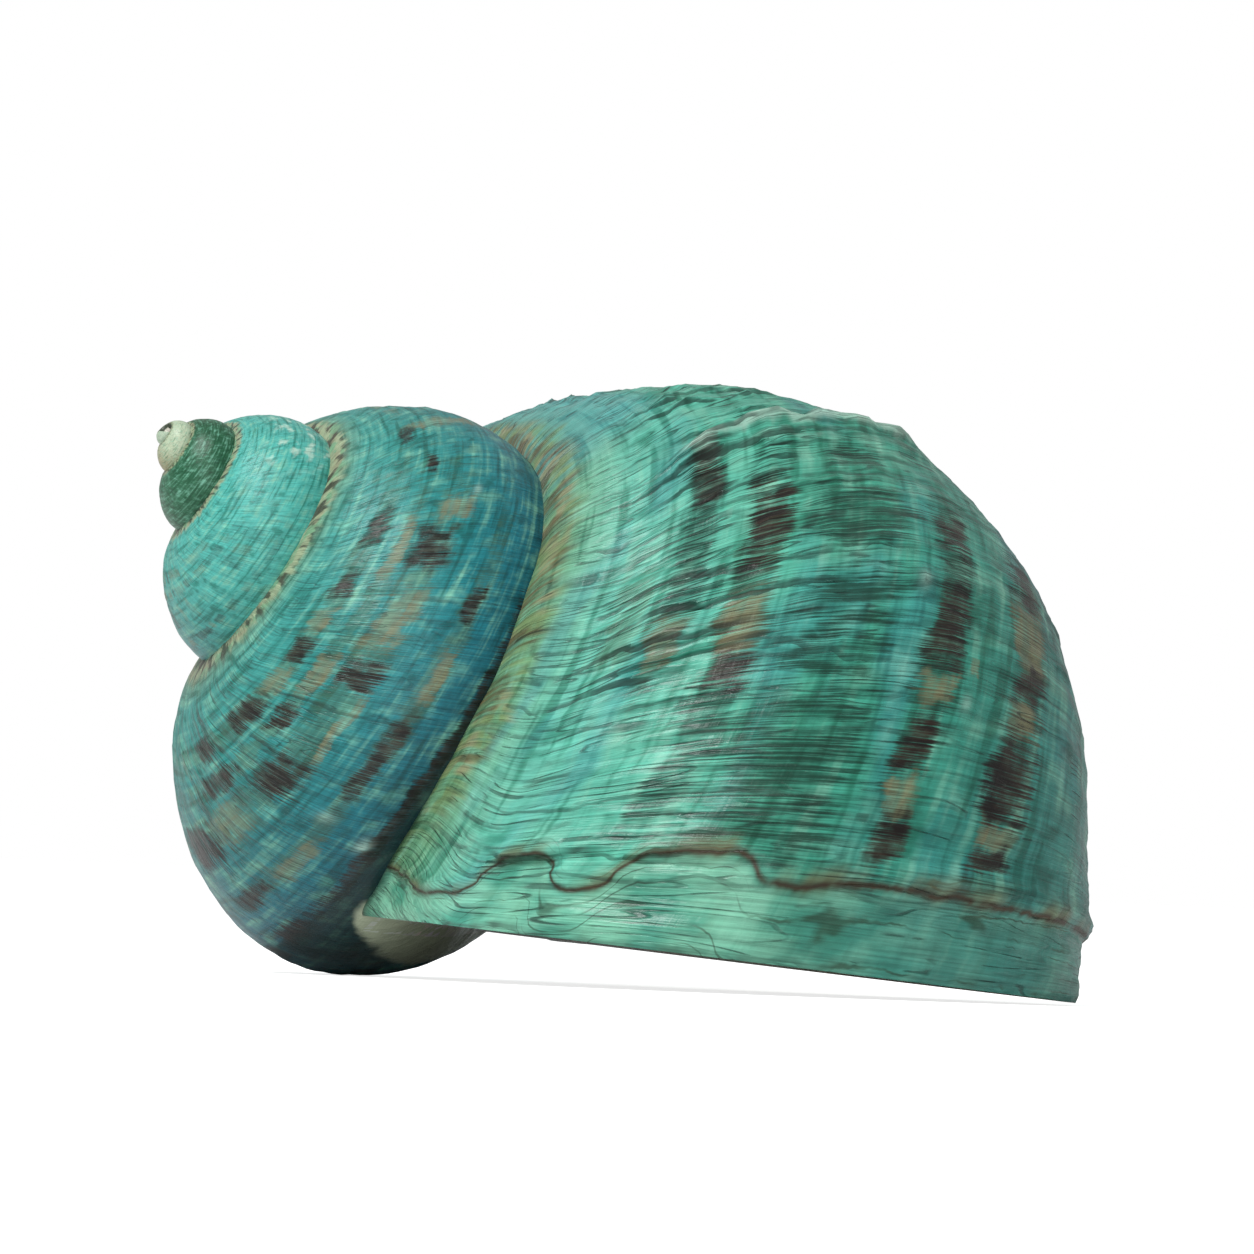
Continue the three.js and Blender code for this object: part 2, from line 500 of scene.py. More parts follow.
# ================================================================= the shell's mesh
SIZES = (
    ("Tube Radius", "NodeSocketFloat", TUBE_RADIUS * MM),
    ("Whorl Growth", "NodeSocketFloat", WHORL_GROWTH),
    ("Wall", "NodeSocketFloat", WALL * MM),
    ("Rim Wall", "NodeSocketFloat", RIM * MM),
    ("Columella Wall", "NodeSocketFloat", COLUMELLA * MM),
    ("Relief", "NodeSocketFloat", MM),
)


def place_group():
    """A place on the tube: the apex is at the origin, and the axis runs up +Z to the base."""
    tree = Tree.group(
        "Tube Place",
        "GeometryNodeTree",
        SIZES
        + (
            ("Turn", "NodeSocketFloat", 0.0),
            ("Around", "NodeSocketFloat", 0.0),
            ("Share", "NodeSocketFloat", 1.0),
            ("Hollow", "NodeSocketFloat", 0.0),
        ),
        (("Position", "NodeSocketVector"),),
    )
    turn = tree.given["Turn"]
    around = tree.given["Around"]
    radius = tree.given["Tube Radius"]
    late = late_share(turn)
    rim_share = (turn / RIM_FADE).exp()
    wall = tree.given["Wall"]
    wall = wall + (tree.given["Rim Wall"] - wall) * rim_share
    pillar = hump(tree, around, PILLAR_SIDE["at"], COLUMELLA_SPREAD * PILLAR_SIDE["width"])
    wall = wall + tree.given["Columella Wall"] * pillar * (1 - rim_share * 0.5)
    relief = tree.use(relief_group(), {"Turn": turn, "Around": around})
    proud = tree.out(relief, "Height") * tree.given["Relief"]
    hollow = tree.given["Hollow"]
    inset = (wall * hollow - proud * (1 - hollow)) / radius
    edge = (outline(tree, turn, around) - inset) * tree.given["Share"]
    out = edge * (around * DEGREE).cos()
    down = edge * (around * DEGREE).sin()
    x = late * LATE_REACH + REACH + out * math.cos(SECTION_SWING * DEGREE)
    y = out * math.sin(SECTION_SWING * DEGREE) - down * math.sin(SECTION_LEAN * DEGREE)
    z = late * LATE_DROP + DROP + down * math.cos(SECTION_LEAN * DEGREE)
    size = radius * tree.math("POWER", tree.given["Whorl Growth"], turn / 360)
    cos = (turn * DEGREE).cos()
    sin = (turn * DEGREE).sin()
    spot = tree.point(size * (x * cos - y * sin), size * (x * sin + y * cos), size * z)
    tree.give("Position", spot)
    return tree.made


def stored(tree, geometry, name, value):
    """Keeps a pair of numbers on each face corner."""
    return tree.field(
        "GeometryNodeStoreNamedAttribute",
        "Geometry",
        {"Geometry": geometry, "Name": name, "Value": value},
        data_type="FLOAT2",
        domain="CORNER",
    )


def piece_group(place):
    """One short closed piece of the tube or of its hollow, made from a cylinder."""
    tree = Tree.group(
        "Tube Piece",
        "GeometryNodeTree",
        SIZES
        + (
            ("Start", "NodeSocketFloat", -60.0),
            ("End", "NodeSocketFloat", 0.0),
            ("Sides", "NodeSocketInt", 32),
            ("Steps", "NodeSocketInt", 8),
            ("Hollow", "NodeSocketFloat", 0.0),
        ),
        (("Geometry", "NodeSocketGeometry"),),
    )
    given = tree.given
    cylinder = tree.field(
        "GeometryNodeMeshCylinder",
        "Mesh",
        {
            "Vertices": given["Sides"],
            "Side Segments": given["Steps"],
            "Radius": 1.0,
            "Depth": 2.0,
        },
        fill_type="TRIANGLE_FAN",
    )
    position = tree.field("GeometryNodeInputPosition", "Position")
    x, y, z = tree.parts(position)
    turn = given["Start"] + (given["End"] - given["Start"]) * ((1 - z) / 2)
    share = (x * x + y * y) ** 0.5
    angle = tree.math("ARCTAN2", y, x) / DEGREE
    around = tree.math("WRAP", angle, float(SEAM), float(SEAM - 360))
    middle = tree.field(
        "GeometryNodeFieldOnDomain",
        "Value",
        {"Value": position},
        data_type="FLOAT_VECTOR",
        domain="FACE",
    )
    face_x, face_y, _ = tree.parts(middle)
    face_angle = tree.math("ARCTAN2", face_y, face_x) / DEGREE
    face_around = tree.math("WRAP", face_angle, float(SEAM), float(SEAM - 360))
    beside = tree.math("WRAP", angle - face_angle, 180.0, -180.0)
    corner_around = face_around + beside * tree.math("GREATER_THAN", share, CENTRE_SHARE)
    pair = tree.point(turn / 360, corner_around / 360)
    body = stored(tree, cylinder, "growth", pair)
    body = stored(tree, body, "zone", tree.point(share, given["Hollow"]))
    sizes = {name: given[name] for name, _, _ in SIZES}
    spot = tree.use(
        place,
        {
            **sizes,
            "Turn": turn,
            "Around": around,
            "Share": share,
            "Hollow": given["Hollow"],
        },
    )
    moved = tree.field(
        "GeometryNodeSetPosition",
        "Geometry",
        {"Geometry": body, "Position": tree.out(spot, "Position")},
    )
    tree.give("Geometry", moved)
    return tree.made


def combined(tree, operation, solids, first=None):
    """Solids joined, or cut from the first."""
    node = tree.node("GeometryNodeMeshBoolean", operation=operation, solver="MANIFOLD")
    if first is not None:
        tree.put(node.inputs["Mesh 1"], first)
    for solid in solids:
        tree.links.new(solid.socket, node.inputs["Mesh 2"])
    return Field(tree, node.outputs["Mesh"])


def pillar_mesh():
    """The pillar and its pad, as rings in the shell's own axes, tagged as mother-of-pearl."""
    mesh = bpy.data.meshes.new("pillar_rings")
    made = bmesh.new()
    growth_map = made.loops.layers.uv.new("growth")
    zone_map = made.loops.layers.uv.new("zone")
    rings = []
    for down, x, y, long, short, turn in PILLAR:
        ring = []
        for i in range(PILLAR_SIDES):
            angle = -2 * math.pi * i / PILLAR_SIDES
            along = long * math.cos(angle)
            across = short * math.sin(angle)
            cos = math.cos(turn * DEGREE)
            sin = math.sin(turn * DEGREE)
            spot = Vector((x + along * cos - across * sin, y + along * sin + across * cos, down))
            ring.append(made.verts.new(spot * TUBE_RADIUS * MM))
        rings.append(ring)
    for i in range(PILLAR_SIDES):
        j = (i + 1) % PILLAR_SIDES
        for low, high in zip(rings, rings[1:]):
            made.faces.new((low[i], high[i], high[j], low[j]))
    made.faces.new(list(rings[0]))
    made.faces.new(list(reversed(rings[-1])))
    bmesh.ops.recalc_face_normals(made, faces=made.faces[:])
    bmesh.ops.triangulate(made, faces=made.faces[:])
    for face in made.faces:
        for corner in face.loops:
            corner[growth_map].uv = PILLAR_GROWTH
            corner[zone_map].uv = PEARLY
    made.to_mesh(mesh)
    made.free()
    keeper = bpy.data.objects.new("pillar_rings", mesh)
    bpy.context.scene.collection.objects.link(keeper)
    return keeper


def hollow_pieces(tree, tube, outers):
    """The hollow in short pieces, each cut so that it leaves the earlier whorls whole.

    Each laps the next by one step, and the first runs out through the lip."""
    width = 360 / PIECES_PER_TURN
    lap = width / HOLLOW_STEPS
    half = PIECES_PER_TURN // 2
    hollows = []
    for i in range(int(CHAMBER_WHORLS * PIECES_PER_TURN)):
        beyond = 2 if i == 0 else 0
        end = -i * width + beyond * lap
        steps = HOLLOW_STEPS + 1 + beyond
        hollow = tube(-(i + 1) * width - lap, end, HOLLOW_SIDES, steps, 1.0)
        hollows.append(combined(tree, "DIFFERENCE", outers[i + half :], hollow))
    return hollows


def laid_down(tree, whole):
    """The shell turned about its own axis, leant over and set to its heading."""
    for axis, angle in ((2, SPIN), (1, LEAN), (2, HEADING)):
        turn = [0.0, 0.0, 0.0]
        turn[axis] = angle * DEGREE
        whole = tree.field(
            "GeometryNodeTransform", "Geometry", {"Geometry": whole, "Rotation": turn}
        )
    return whole


def smoothed(tree, whole):
    """Shaded smooth, except across the edges that turn sharply."""
    whole = tree.field(
        "GeometryNodeSetShadeSmooth", "Geometry", {"Geometry": whole, "Shade Smooth": True}
    )
    bend = tree.field("GeometryNodeInputMeshEdgeAngle", "Unsigned Angle")
    sharp = tree.math("GREATER_THAN", bend, SHARP * DEGREE)
    return tree.field(
        "GeometryNodeSetShadeSmooth",
        "Geometry",
        {"Geometry": whole, "Selection": sharp, "Shade Smooth": False},
        domain="EDGE",
    )


def given_finishes(tree, whole, outside, inside):
    """The painted outside on every face, then mother-of-pearl on the pearly ones."""
    zone = tree.field(
        "GeometryNodeInputNamedAttribute",
        "Attribute",
        {"Name": "zone"},
        data_type="FLOAT_VECTOR",
    )
    _, pearl, _ = tree.parts(zone)
    is_pearl = tree.math("GREATER_THAN", pearl, 0.5)
    whole = tree.field(
        "GeometryNodeSetMaterial", "Geometry", {"Geometry": whole, "Material": outside}
    )
    return tree.field(
        "GeometryNodeSetMaterial",
        "Geometry",
        {"Geometry": whole, "Selection": is_pearl, "Material": inside},
    )


def shell_group(outside, inside, pillar):
    """The whole shell, lying as it rests, with the apex of its tube at the origin."""
    tree = Tree.group(
        "Turban Shell", "GeometryNodeTree", SIZES, (("Geometry", "NodeSocketGeometry"),)
    )
    sizes = {name: tree.given[name] for name, _, _ in SIZES}
    piece = piece_group(place_group())
    width = 360 / PIECES_PER_TURN

    def tube(start, end, sides, steps, hollow):
        places = {"Start": start, "End": end, "Hollow": hollow}
        counts = {"Sides": sides, "Steps": steps}
        return tree.out(tree.use(piece, {**sizes, **places, **counts}), "Geometry")

    outers = []
    for i in range(WHORLS * PIECES_PER_TURN):
        steps = STEPS_BY_WHORL[i // PIECES_PER_TURN]
        outers.append(tube(-(i + 1) * width, -i * width, OUTER_SIDES, steps, 0.0))
    hollows = hollow_pieces(tree, tube, outers)
    rings = tree.field("GeometryNodeObjectInfo", "Geometry", {"Object": pillar})
    filled = combined(tree, "UNION", outers + [rings])
    pearly = [stored(tree, hollow, "zone", tree.point(*PEARLY)) for hollow in hollows]
    whole = combined(tree, "DIFFERENCE", pearly, filled)
    whole = smoothed(tree, laid_down(tree, whole))
    whole = tree.field("GeometryNodeRealizeInstances", "Geometry", {"Geometry": whole})
    tree.give("Geometry", given_finishes(tree, whole, outside, inside))
    return tree.made


def loose_parts(made):
    """Sets of vertices that hang together, the largest last."""
    unseen = set(made.verts)
    parts = []
    while unseen:
        heap = [unseen.pop()]
        part = set(heap)
        while heap:
            for edge in heap.pop().link_edges:
                for vertex in edge.verts:
                    if vertex in unseen:
                        unseen.discard(vertex)
                        part.add(vertex)
                        heap.append(vertex)
        parts.append(part)
    parts.sort(key=len)
    return parts


def clean_cuts(mesh):
    """Drops the crumbs and the sealed void that the cuts leave, and makes the edges where
    the two finishes meet sharp."""
    made = bmesh.new()
    made.from_mesh(mesh)
    crumbs = [vertex for part in loose_parts(made)[:-1] for vertex in part]
    bmesh.ops.delete(made, geom=crumbs, context="VERTS")
    for edge in made.edges:
        if len({face.material_index for face in edge.link_faces}) > 1:
            edge.smooth = False
    made.to_mesh(mesh)
    made.free()


def shell_piece(outside, inside):
    """The finished shell as a plain mesh, standing where the frame's own shell stands."""
    pillar = pillar_mesh()
    group = shell_group(outside, inside, pillar)
    maker = bpy.data.objects.new("shell_maker", bpy.data.meshes.new("shell_maker"))
    bpy.context.scene.collection.objects.link(maker)
    modifier = maker.modifiers.new("Growth", "NODES")
    modifier.node_group = group
    sizes = {name: value for name, _, value in SIZES}
    for item in group.interface.items_tree:
        if item.in_out == "INPUT" and item.name in sizes:
            modifier[item.identifier] = sizes[item.name]
    graph = bpy.context.evaluated_depsgraph_get()
    mesh = bpy.data.meshes.new_from_object(maker.evaluated_get(graph), depsgraph=graph)
    mesh.name = "turban_shell"
    maker.modifiers.clear()
    bpy.data.objects.remove(maker)
    bpy.data.objects.remove(pillar)
    clean_cuts(mesh)
    for slot in reversed(range(len(mesh.materials))):
        if mesh.materials[slot] is None:
            mesh.materials.pop(index=slot)
    low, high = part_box("shell")
    corners = [vertex.co for vertex in mesh.vertices]
    least = Vector([min(spot[k] for spot in corners) for k in range(3)])
    most = Vector([max(spot[k] for spot in corners) for k in range(3)])
    middle = (low + high) / 2 - (least + most) / 2
    mesh.transform(Matrix.Translation((middle.x, middle.y, low.z - least.z)))
    piece = bpy.data.objects.new("turban_shell", mesh)
    bpy.context.scene.collection.objects.link(piece)
    return piece


# ================================================================= colours and finishes
def paint(red, green, blue):
    """A colour given as it looks, 0 to 255."""

    def light(value):
        share = value / 255
        return share / 12.92 if share <= 0.04045 else ((share + 0.055) / 1.055) ** 2.4

    return (light(red), light(green), light(blue), 1.0)


def new_material(name):
    made = bpy.data.materials.new(name)
    made.use_nodes = True
    tree = Tree(made.node_tree)
    tree.nodes.clear()
    shader = tree.node("ShaderNodeBsdfPrincipled")
    output = tree.node("ShaderNodeOutputMaterial")
    tree.links.new(shader.outputs["BSDF"], output.inputs["Surface"])
    return made, tree, shader


def coordinates(tree):
    """Turn and around in degrees, how far out in the section, and the object's own place."""
    pair = tree.field("ShaderNodeAttribute", "Vector", attribute_name="growth")
    turns, arounds, _ = tree.parts(pair)
    zone = tree.field("ShaderNodeAttribute", "Vector", attribute_name="zone")
    share, _, _ = tree.parts(zone)
    place = tree.field("ShaderNodeTexCoord", "Object")
    return turns * 360, arounds * 360, share, place


def growth_lines_group():
    """Fine lines laid down along the lip: a tone for colour and a height in mm."""
    tree = Tree.group(
        "Growth Lines",
        "ShaderNodeTree",
        (
            ("Turn", "NodeSocketFloat", 0.0),
            ("Around", "NodeSocketFloat", 0.0),
            ("Depth", "NodeSocketFloat", 1.0),
        ),
        (
            ("Fine", "NodeSocketFloat"),
            ("Broad", "NodeSocketFloat"),
            ("Cracks And Ledge Shade", "NodeSocketFloat"),
            ("Height", "NodeSocketFloat"),
        ),
    )
    turn = tree.given["Turn"]
    around = tree.given["Around"]
    age = growth_age(turn, around)
    fine = tree.noise(age / 0.3, around / 26, 51, detail=2.0, roughness=0.6)
    broad = tree.noise(age / 2.0, around / 13, 53, detail=4.0, roughness=0.6)
    spiral = tree.noise(age / 7, around / 0.75, 57, detail=2.0)
    course = tree.noise(age / 3.2, around / 50, 58, detail=1.0)
    there = tree.noise(age / 7, around / 9, 59).rises(0.5, 0.62)
    cracks = (course - 0.5).abs().rises(0.014, 0.002) * there
    # Painted shade, with some dirt, under the drop of each ledge, joined to the cracks.
    ledge_shade_and_dirt = stepped(tree, age, around, *LEDGES[0])[1]
    ledge_shade_and_dirt = ledge_shade_and_dirt.most(stepped(tree, age, around, *LEDGES[1])[1] * 0.7)
    crowded = around.bump(-50, 38) * 0.7 + 0.3
    cracks = (cracks * 0.8).most(ledge_shade_and_dirt * crowded)
    hairs = ((course * 9).fraction() - 0.5).abs().rises(0.12, 0.03)
    hairs = hairs * tree.noise(age / 6, around / 12, 60).rises(0.4, 0.62)
    cracks = cracks.most(hairs * crowded)
    cracks = cracks * (turn.rises(-520, -200) * 0.7 + 0.3)
    height = fine * 0.07 + broad * 0.14 + spiral * 0.03 - cracks * 0.12
    size = growth(tree, turn)
    tree.give("Fine", fine)
    tree.give("Broad", broad)
    tree.give("Cracks And Ledge Shade", cracks)
    tree.give("Height", height * size * tree.given["Depth"])
    return tree.made


def wander(tree, turn, around):
    """Turn and around with a slow drift, so that laid shapes come out uneven."""
    along = (tree.noise(turn / 7, around / 6, 91, detail=3.0) - 0.5) * 7
    across = (tree.noise(turn / 9, around / 9, 92, detail=3.0) - 0.5) * 9
    return tree.point(turn + along, around + across, 0.0)


def marks(tree, turn, around, ragged, places):
    """1 on soft-edged patches given as turn, around, half length and half height."""
    nearest = None
    spot = wander(tree, turn, around)
    for mark_turn, mark_around, long, high in places:
        near = tree.vector(
            "MULTIPLY_ADD",
            spot,
            (1 / long, 1 / high, 0.0),
            (-mark_turn / long, -mark_around / high, 0.0),
        )
        squared = tree.vector("MULTIPLY", near, near)
        away = tree.vector("LENGTH", squared, output=1)
        nearest = away if nearest is None else nearest.least(away)
    return (nearest + ragged).rises(1.75, 0.15)


# Patches that stand out on the two largest whorls: turn, around, half length, half
# height, in degrees. They sit in the coloured rows that wind round the shell.
DARK_MARKS = (
    (-75, -52, 8, 2.6), (-34.5, -38, 2.8, 3.4), (-60, -38, 8, 3.6), (-57, 2, 4, 3.4),
    (-42, 2, 6, 3.6), (-25, 2, 3.2, 3.8), (-14, 2, 3, 3.6), (-54, 26, 4, 4.5),
    (-36, 26, 2.4, 4.6), (-23.5, 26, 4.8, 5.4), (-13.5, 26, 1.8, 4.4),
    (-399, -51, 6.5, 4.8), (-379, -51, 4, 4), (-357, -51, 4, 4.4), (-333, -51, 6.5, 4.8),
    (-312, -51, 5, 4.6), (-441, -50, 4, 3.5), (-421, -38, 3.5, 3), (-337, -38, 4, 3.6),
    (-308, -38, 8, 3.6), (-389, -25, 6, 7), (-353, -23, 3.6, 8), (-322, -24, 6, 8),
    (-283, -22, 9, 8), (-374, 2, 4.4, 3.2), (-334, 2, 11, 3.4), (-285, 2, 6.5, 3.6),
    (-278, 22, 7, 5), (-330, 23, 40, 3),
)
TAN_MARKS = (
    (-42, -52, 4.5, 2.8), (-42, -38, 5, 3.6), (-32, 2, 2.2, 3.2), (-19, 2, 2, 3.2),
    (-44, 26, 5.5, 4.8), (-31, 26, 2.4, 4.8), (-17, 26, 1.8, 4.6), (-36, 10, 1.2, 1.2),
    (-367, -51, 4, 4), (-346, -51, 4.5, 4.4), (-351, -38, 6, 3.8), (-390, -38, 9, 3),
    (-402, -21, 4, 7), (-338, -17, 9, 2.2), (-368, -24, 8, 6), (-300, -24, 7, 6),
    (-356, 3, 6, 3), (-303, 4, 7, 3.6), (-445, -30, 3, 20),
)
GREEN_MARKS = (
    (-59, -20, 5.5, 11), (-44, -19, 4.5, 9), (-22, -20, 9.5, 11), (-36, -20, 2.5, 8),
    (-22, -39, 9, 3.4), (-72, -20, 3, 6), (-38, 2, 28, 4.4), (-36, 26, 25, 5.6),
    (-44, -38, 28, 4.2), (-60, -52, 24, 3.2),
)
OLIVE_MARKS = (
    (-352, -51, 70, 4.4), (-350, -38, 60, 3.4), (-345, -24, 66, 7), (-335, 2, 60, 4.4),
    (-130, -30, 22, 8), (-122, 4, 12, 8), (-52, -38, 12, 4.4), (-48, -62, 9, 3.5),
)
# Rows for the sides that carry no named patch: around, half height, length, seed.
ROWS = (
    (-51.5, 4.2, 9.0, 61), (-38, 3.4, 8.0, 62), (-21, 8.0, 9.0, 63), (2, 3.4, 8.5, 64),
    (26, 5.0, 8.0, 65), (58, 4.5, 10.0, 66), (88, 4.5, 9.0, 67), (118, 4.5, 9.0, 68),
)


def winding_rows(tree, age, around, ragged):
    """Dark and pale shares of the rows of blotches that wind round the shell."""
    dark = None
    pale = None
    for centre, high, length, seed in ROWS:
        off = (around - centre).abs() / high
        inside = (off + ragged * 0.6).rises(1.2, 0.75)
        tone = tree.noise(age / length, centre / 7, seed, detail=1.0)
        dark_here = inside * tone.rises(0.53, 0.6)
        pale_here = inside * tone.rises(0.46, 0.4)
        dark = dark_here if dark is None else dark.most(dark_here)
        pale = pale_here if pale is None else pale.most(pale_here)
    return dark, pale


# Ground tones: a place round the tube, from the suture to the base, and its colour.
TONES_FROM = -110
TONES_TO = 130
BODY_TONES = (
    (-104, paint(96, 128, 92)), (-86, paint(124, 172, 138)), (-68, paint(116, 194, 176)),
    (-45, paint(104, 190, 168)), (-22, paint(72, 160, 136)), (12, paint(62, 148, 132)),
    (34, paint(62, 138, 130)), (70, paint(84, 146, 138)), (130, paint(120, 160, 140)),
)
# On the earlier whorls, the deep blue next to the suture below them is partly the shell's own
# tone and partly painted shade.
EARLY_TONES_AND_SHADE = (
    (-104, paint(120, 150, 125)), (-84, paint(116, 154, 134)), (-72, paint(72, 160, 154)),
    (-45, paint(54, 148, 146)), (-15, paint(38, 134, 140)), (8, paint(28, 122, 138)),
    (26, paint(22, 96, 114)), (70, paint(36, 116, 126)),
)
# Tones of the earliest whorls, from the apex on: turn, colour.
WHORL_TONES = (
    (-1800, paint(228, 222, 200)), (-1420, paint(222, 214, 186)),
    (-1340, paint(196, 156, 108)), (-1290, paint(54, 90, 58)),
    (-1150, paint(42, 98, 68)), (-985, paint(60, 118, 88)), (-925, paint(84, 168, 154)),
    (-860, paint(92, 188, 180)), (-700, paint(92, 188, 180)),
)
BROWN = paint(72, 44, 34)
DEEP_BROWN = paint(26, 16, 13)
TAN = paint(140, 112, 80)
PALE_TAN = paint(176, 162, 126)
OLIVE = paint(88, 112, 80)
BOTTLE_GREEN = paint(18, 62, 48)
MINT = paint(150, 206, 182)
CHALK_AND_HIGHLIGHT = paint(214, 228, 214)
CREAM = paint(214, 206, 180)
# Dark of the fine cracks, and of the painted shade in the sutures and under the ledges.
SHADE_AND_CRACK_DARK = paint(20, 34, 30)
STRAW = paint(186, 184, 150)
MOSS = paint(134, 146, 98)
ROSY = paint(178, 150, 122)
PALE_GREEN = paint(120, 172, 134)
UMBER = paint(74, 52, 42)
RUST = paint(100, 64, 38)
DEEPENING = paint(128, 182, 172)
LAGOON = paint(66, 146, 168)
MARGIN_GREEN = paint(84, 158, 136)
MARGIN_MINT = paint(150, 206, 178)
MARGIN_DEEP = paint(64, 134, 128)
LAYER_DARK = paint(44, 66, 44)
STAIN = paint(136, 100, 50)
STAIN_DARK = paint(70, 42, 18)
RIM_GREEN = paint(140, 172, 146)
RIM_CREAM = paint(222, 220, 206)
WHOLE_TINT = paint(212, 232, 228)
PEARL_TINGE = paint(150, 186, 160)

# The glaze that the animal lays beside its mouth: ovals on the underside, each with its
# place, its turn and its half sizes, m.
GLAZE = (
    ((-0.0132, 0.0018, 0.0040), (0.0, 0.0, 68 * DEGREE), (0.0113, 0.0031, 0.0050)),
    ((-0.0170, -0.0080, 0.0042), (0.0, 0.0, 0.0), (0.0024, 0.0036, 0.0022)),
)


def flame_band(tree, turn, around, age, colour, fine):
    """Olive and pinkish ground with slanting brown flames, next to the suture."""
    edge = tree.noise(age / 4, around / 30, 71) * 14 - 7
    band = (around + edge).rises(-80, -88)
    body = turn.rises(-240, -170)
    ground = tree.mix(body, STRAW, MOSS)
    rosy = tree.noise(age / 8, around / 14, 72).rises(0.45, 0.62)
    ground = tree.mix(rosy * 0.6, ground, ROSY)
    green = tree.noise(age / 10, around / 10, 73).rises(0.5, 0.62)
    ground = tree.mix(green * 0.7, ground, PALE_GREEN)
    flames = tree.noise(age / 6, around / 22, 74, detail=2.0)
    flames = (flames + (fine - 0.5) * 0.16).rises(0.5, 0.57)
    brown = tree.mix(body, UMBER, RUST)
    flames = flames * (body * -0.2 + 0.95)
    ground = tree.mix(flames, ground, brown)
    fade = turn.rises(-10, -34)
    streaks = tree.noise(age / 2.2, around / 40, 70, detail=3.0).rises(0.36, 0.56)
    streaks = 1 - body * (1 - streaks) * 0.85
    return tree.mix(band * fade * streaks * 0.9, colour, ground)


def ground_colour(tree, turn, around, body):
    """The ground, whorl by whorl."""
    early = tree.palette(around, TONES_FROM, TONES_TO, EARLY_TONES_AND_SHADE)
    late = tree.palette(around, TONES_FROM, TONES_TO, BODY_TONES)
    earliest = tree.palette(turn, WHORL_TONES[0][0], WHORL_TONES[-1][0], WHORL_TONES)
    return tree.mix(turn.rises(-560, -700), tree.mix(body, early, late), earliest)


def clouded(tree, turn, around, body, colour, column, cloud):
    """Soft columns and clouds, lighter and deeper, with bluer places among them."""
    lighter = column.rises(0.5, 0.72) * 0.5 + cloud.rises(0.5, 0.72) * 0.45
    colour = tree.mix(lighter * cloud.rises(0.3, 0.55), colour, MINT)
    deeper = tree.mix(1.0, colour, DEEPENING, "MULTIPLY")
    deep = column.rises(0.5, 0.32).most(cloud.rises(0.46, 0.3)) * 0.8
    colour = tree.mix(deep, colour, deeper)
    blue = tree.noise(turn / 28, around / 17, 80).rises(0.5, 0.68) * 0.7
    blue = blue.most(turn.rises(-96, -112) * around.rises(-50, -64))
    return tree.mix(blue * body * 0.42, colour, LAGOON)


def blotched(tree, turn, around, colour, fine, broad, column):
    """Rows of blotches with ragged edges. Gives the colour and the share of dark in it."""
    age = growth_age(turn, around)
    ragged = (broad - 0.5) * 2.0 + (fine - 0.5) * 3.4
    ragged = ragged + (tree.noise(age / 3, around / 5, 77, detail=4.0) - 0.5) * 2.2
    dark, pale = winding_rows(tree, age, around, ragged)
    unseen = turn.rises(-100, -165) * turn.rises(-272, -262)
    unseen = unseen + turn.rises(-450, -480)
    unseen = unseen * (turn.rises(-760, -560) * 0.85 + 0.1) * turn.rises(-1000, -940)
    olive = marks(tree, turn, around, ragged * 1.4, OLIVE_MARKS)
    colour = tree.mix(olive * 0.42, colour, OLIVE)
    green = marks(tree, turn, around, ragged, GREEN_MARKS)
    streaky = (broad + fine).rises(1.15, 0.85) * 0.45 + 0.42
    colour = tree.mix(green * streaky, colour, BOTTLE_GREEN)
    pale = (pale * unseen).most(marks(tree, turn, around, ragged, TAN_MARKS))
    tan = tree.mix(fine.rises(0.3, 0.7), TAN, PALE_TAN)
    colour = tree.mix(pale * (column.rises(0.7, 0.35) * 0.4 + 0.32), colour, tan)
    dark = (dark * unseen).most(marks(tree, turn, around, ragged, DARK_MARKS))
    brown = tree.mix(broad.rises(0.35, 0.65), DEEP_BROWN, BROWN)
    streaky = (broad + fine).rises(1.25, 0.85) * 0.4 + 0.6
    return tree.mix(dark * streaky, colour, brown), dark


def lip_margin(tree, turn, around, colour, cloud):
    """The paler margin at the lip, its thin layers and the stained pause line."""
    past = past_rest_line(tree, turn, around)
    pale = tree.mix(cloud.rises(0.35, 0.6), MARGIN_GREEN, MARGIN_MINT)
    pale = tree.mix(around.rises(-25, 25) * 0.7, pale, MARGIN_DEEP)
    colour = tree.mix(past.rises(0, 1.5) * 0.7, colour, pale)
    layers = tree.noise(past / 2.4, around / 90, 46, detail=0.0)
    layers = ((layers * 5).fraction() - 0.5).abs().rises(0.1, 0.03) * past.rises(-4, 0.5)
    layers = layers * tree.noise(past / 3, around / 10, 47).rises(0.42, 0.6)
    colour = tree.mix(layers * 0.7, colour, LAYER_DARK)
    traced = past.bump(0.0, 0.42) * tree.noise(around / 6, 3.0, 42).rises(0.25, 0.5)
    stained = past.bump(-0.5, 1.3) * tree.noise(around / 11, 5.0, 44).rises(0.4, 0.62)
    colour = tree.mix(stained * 0.6, colour, STAIN)
    return tree.mix(traced * 0.95, colour, STAIN_DARK)


def chalk_and_highlight_share(tree, turn, around, broad):
    """1 where rubbed places show the chalky layer, and on the crests of the healed lip and on
    the knobs, whose pale is partly worn chalk and partly a painted highlight.
    """
    # The healed lip's crests whitened: partly worn chalk, partly a painted highlight.
    chalk_and_highlight = (scar(tree, turn, around) - 0.3).rises(0.0, 0.8) * 0.7
    for knob_turn, knob_around, size, long, wide in KNOBS:
        knob = turn.bump(knob_turn, long * 0.8) * around.bump(knob_around, wide * 0.8)
        chalk_and_highlight = chalk_and_highlight.most((knob + (broad - 0.5) * 0.8) * knob * size)
    age = growth_age(turn, around)
    rubbed = tree.noise(age / 9, around / 12, 78, detail=3.0).rises(0.5, 0.66)
    rubbed = rubbed * turn.band(-905, -760, 14) * around.rises(-60, -30)
    return chalk_and_highlight.most(rubbed * 0.95)


